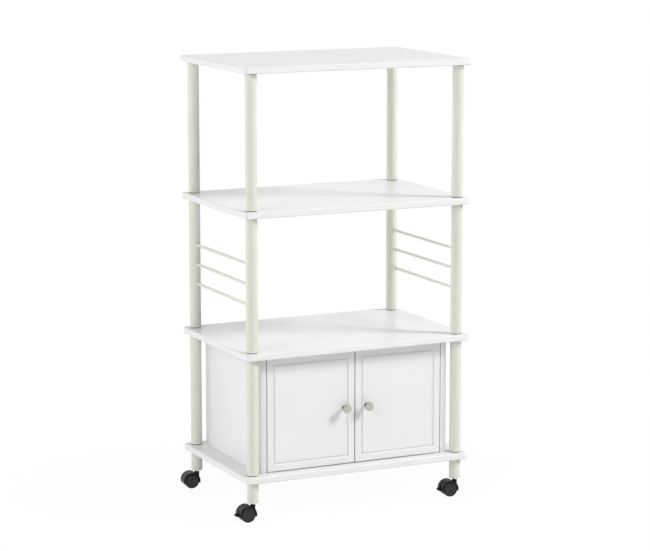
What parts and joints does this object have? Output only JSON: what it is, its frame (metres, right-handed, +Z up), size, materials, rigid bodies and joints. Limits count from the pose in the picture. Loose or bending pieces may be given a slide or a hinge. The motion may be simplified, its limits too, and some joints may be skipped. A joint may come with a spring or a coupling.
{
  "type": "microwave cart",
  "caption": "Tall kitchen cart: white shelves on cream tube posts, an open oven bay, side rungs, a cabinet with hinged doors, and swivelling casters with brake levers.",
  "frame": {"origin": "on the floor, under the middle of the shelves", "axes": "+X to the right as seen from the doors, +Y to the back, +Z up"},
  "size_m": [0.6385, 0.4, 1.091],
  "materials": {
    "white_lacquer": "white semi-gloss lacquer on fibreboard",
    "cream_paint": "satin cream powder coat on steel tube",
    "black_nylon": "black moulded nylon, satin",
    "black_plastic": "black moulded plastic",
    "white_plastic": "white moulded plastic",
    "satin_nickel": "satin nickel plating",
    "zinc": "bright zinc plating",
    "magnet": "ground ferrite",
    "beech": "plain beech dowel"
  },
  "bodies": {
    "frame": {"top_shelf": "white_lacquer", "upper_shelf": "white_lacquer", "lower_shelf": "white_lacquer", "base_shelf": "white_lacquer", "upper_post_front_left": "cream_paint", "upper_post_front_right": "cream_paint", "upper_post_back_left": "cream_paint", "upper_post_back_right": "cream_paint", "middle_post_front_left": "cream_paint", "middle_post_front_right": "cream_paint", "middle_post_back_left": "cream_paint", "middle_post_back_right": "cream_paint", "lower_post_front_left": "cream_paint", "lower_post_front_right": "cream_paint", "lower_post_back_left": "cream_paint", "lower_post_back_right": "cream_paint", "leg_front_left": "cream_paint", "leg_front_right": "cream_paint", "leg_back_left": "cream_paint", "leg_back_right": "cream_paint", "post_end_plugs": "black_plastic", "shelf_studs": "zinc", "top_inserts": "zinc", "caster_sockets": "black_plastic", "caster_stems": "zinc", "left_rungs": "cream_paint", "right_rungs": "cream_paint", "left_side_panel": "white_lacquer", "right_side_panel": "white_lacquer", "back_panel": "white_lacquer", "cabinet_dowels": "beech", "cam_bolts": "zinc", "cam_locks": "zinc", "hinge_bushes": "white_plastic", "magnet_catch": "white_plastic", "catch_magnets": "magnet"},
    "left_door": {"left_door": "white_lacquer", "left_hinge_pins": "zinc", "left_knob": "satin_nickel", "left_knob_screw": "zinc", "left_strike_plate": "zinc"},
    "right_door": {"right_door": "white_lacquer", "right_hinge_pins": "zinc", "right_knob": "satin_nickel", "right_knob_screw": "zinc", "right_strike_plate": "zinc"},
    "caster_front_left": {"caster_hood_front_left": "black_nylon"},
    "wheels_front_left": {"caster_wheels_front_left": "black_nylon", "caster_axle_front_left": "zinc"},
    "brake_front_left": {"brake_lever_front_left": "black_nylon"},
    "caster_front_right": {"caster_hood_front_right": "black_nylon"},
    "wheels_front_right": {"caster_wheels_front_right": "black_nylon", "caster_axle_front_right": "zinc"},
    "brake_front_right": {"brake_lever_front_right": "black_nylon"},
    "caster_back_left": {"caster_hood_back_left": "black_nylon"},
    "wheels_back_left": {"caster_wheels_back_left": "black_nylon", "caster_axle_back_left": "zinc"},
    "caster_back_right": {"caster_hood_back_right": "black_nylon"},
    "wheels_back_right": {"caster_wheels_back_right": "black_nylon", "caster_axle_back_right": "zinc"}
  },
  "joints": [
    {"name": "left_door_hinge", "type": "hinge", "parent": "frame", "child": "left_door", "pos_m": [-0.225, -0.1645, 0.253], "axis": [0, 0, -1], "range_deg": [0, 110]},
    {"name": "right_door_hinge", "type": "hinge", "parent": "frame", "child": "right_door", "pos_m": [0.225, -0.1645, 0.253], "axis": [0, 0, 1], "range_deg": [0, 110]},
    {"name": "caster_swivel_front_left", "type": "hinge", "parent": "frame", "child": "caster_front_left", "pos_m": [-0.275, -0.175, 0.03], "axis": [0, 0, 1], "continuous": true},
    {"name": "wheel_spin_front_left", "type": "hinge", "parent": "caster_front_left", "child": "wheels_front_left", "pos_m": [-0.29199, -0.17441, 0.0185], "axis": [0.0349, 0.9994, 0], "continuous": true},
    {"name": "brake_press_front_left", "type": "hinge", "parent": "caster_front_left", "child": "brake_front_left", "pos_m": [-0.30378, -0.174, 0.0268], "axis": [-0.0349, -0.9994, 0], "range_deg": [0, 18]},
    {"name": "caster_swivel_front_right", "type": "hinge", "parent": "frame", "child": "caster_front_right", "pos_m": [0.275, -0.175, 0.03], "axis": [0, 0, 1], "continuous": true},
    {"name": "wheel_spin_front_right", "type": "hinge", "parent": "caster_front_right", "child": "wheels_front_right", "pos_m": [0.25806, -0.17352, 0.0185], "axis": [0.0872, 0.9962, 0], "continuous": true},
    {"name": "brake_press_front_right", "type": "hinge", "parent": "caster_front_right", "child": "brake_front_right", "pos_m": [0.24631, -0.17249, 0.0268], "axis": [-0.0872, -0.9962, 0], "range_deg": [0, 18]},
    {"name": "caster_swivel_back_left", "type": "hinge", "parent": "frame", "child": "caster_back_left", "pos_m": [-0.275, 0.175, 0.03], "axis": [0, 0, 1], "continuous": true},
    {"name": "wheel_spin_back_left", "type": "hinge", "parent": "caster_back_left", "child": "wheels_back_left", "pos_m": [-0.29191, 0.17678, 0.0185], "axis": [0.1045, 0.9945, 0], "continuous": true},
    {"name": "caster_swivel_back_right", "type": "hinge", "parent": "frame", "child": "caster_back_right", "pos_m": [0.275, 0.175, 0.03], "axis": [0, 0, 1], "continuous": true},
    {"name": "wheel_spin_back_right", "type": "hinge", "parent": "caster_back_right", "child": "wheels_back_right", "pos_m": [0.29184, 0.17263, 0.0185], "axis": [-0.1392, -0.9903, 0], "continuous": true}
  ]
}
